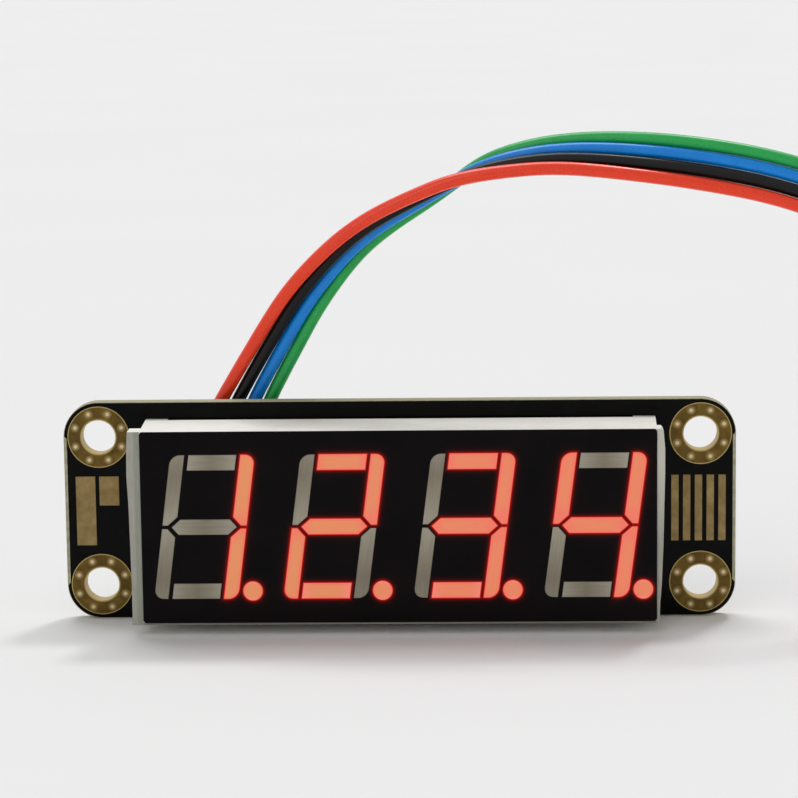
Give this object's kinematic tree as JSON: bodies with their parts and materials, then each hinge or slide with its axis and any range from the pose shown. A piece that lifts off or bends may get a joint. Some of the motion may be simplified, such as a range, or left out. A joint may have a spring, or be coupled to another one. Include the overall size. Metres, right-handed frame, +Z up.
{
  "type": "seven segment display module",
  "caption": "Numeric LED display on a small black circuit board with corner mounting holes, a rear cable header and a plug-in lead of coloured wires ending in a socket.",
  "frame": {"origin": "centre of the four mounting holes, on the rear face of the circuit board", "axes": "+X along the board to the viewer's right, +Y out of the rear face, +Z up; the digits face -Y"},
  "size_m": [0.1236, 0.0258, 0.0481],
  "materials": {
    "board_black": "glossy black solder mask over glass fibre board",
    "gold_plating": "thin dull gold plating, satin",
    "housing_white": "moulded white plastic, satin",
    "face_black": "printed black face layer, slightly glossy",
    "segment_lit": "translucent resin, lit salmon red",
    "segment_unlit": "translucent resin, unlit warm grey, finely brushed",
    "inner_board": "green glass fibre board",
    "die_gold": "bare light emitting chips",
    "potting": "cast pale resin",
    "tinned_pins": "tinned metal, bright",
    "solder": "solder, satin",
    "chip_black": "moulded black epoxy, matt",
    "resistor_black": "glazed black ceramic",
    "capacitor_tan": "tan ceramic, matt",
    "connector_white": "natural white nylon",
    "wire_red": "red wire insulation, satin",
    "wire_black": "black wire insulation, satin",
    "wire_blue": "blue wire insulation, satin",
    "wire_green": "green wire insulation, satin",
    "tie_white": "white nylon tie",
    "socket_black": "black moulded plastic, matt"
  },
  "bodies": {
    "root": {"circuit_board": "board_black", "mounting_hole_plating": "gold_plating", "front_gold_fields": "gold_plating", "rear_pads": "gold_plating", "display_housing": "housing_white", "display_face": "face_black", "lit_segments_1": "segment_lit", "lit_segments_2": "segment_lit", "lit_segments_3": "segment_lit", "lit_segments_4": "segment_lit", "unlit_segments_1": "segment_unlit", "unlit_segments_2": "segment_unlit", "unlit_segments_3": "segment_unlit", "unlit_segments_4": "segment_unlit", "decimal_points": "segment_lit", "led_board": "inner_board", "led_dies": "die_gold", "potting_resin": "potting", "display_pins": "tinned_pins", "pin_solder": "solder", "driver_chip": "chip_black", "driver_chip_leads": "tinned_pins", "resistors": "resistor_black", "capacitors": "capacitor_tan", "passive_end_caps": "solder", "header_shell": "connector_white", "header_contacts": "tinned_pins", "header_anchor_tabs": "tinned_pins", "plug_shell": "connector_white", "plug_contacts": "tinned_pins", "wire_red": "wire_red", "wire_black": "wire_black", "wire_blue": "wire_blue", "wire_green": "wire_green", "cable_coil": "wire_black", "coil_ties": "tie_white", "socket_shell": "socket_black", "socket_contacts": "tinned_pins"}
  },
  "joints": []
}
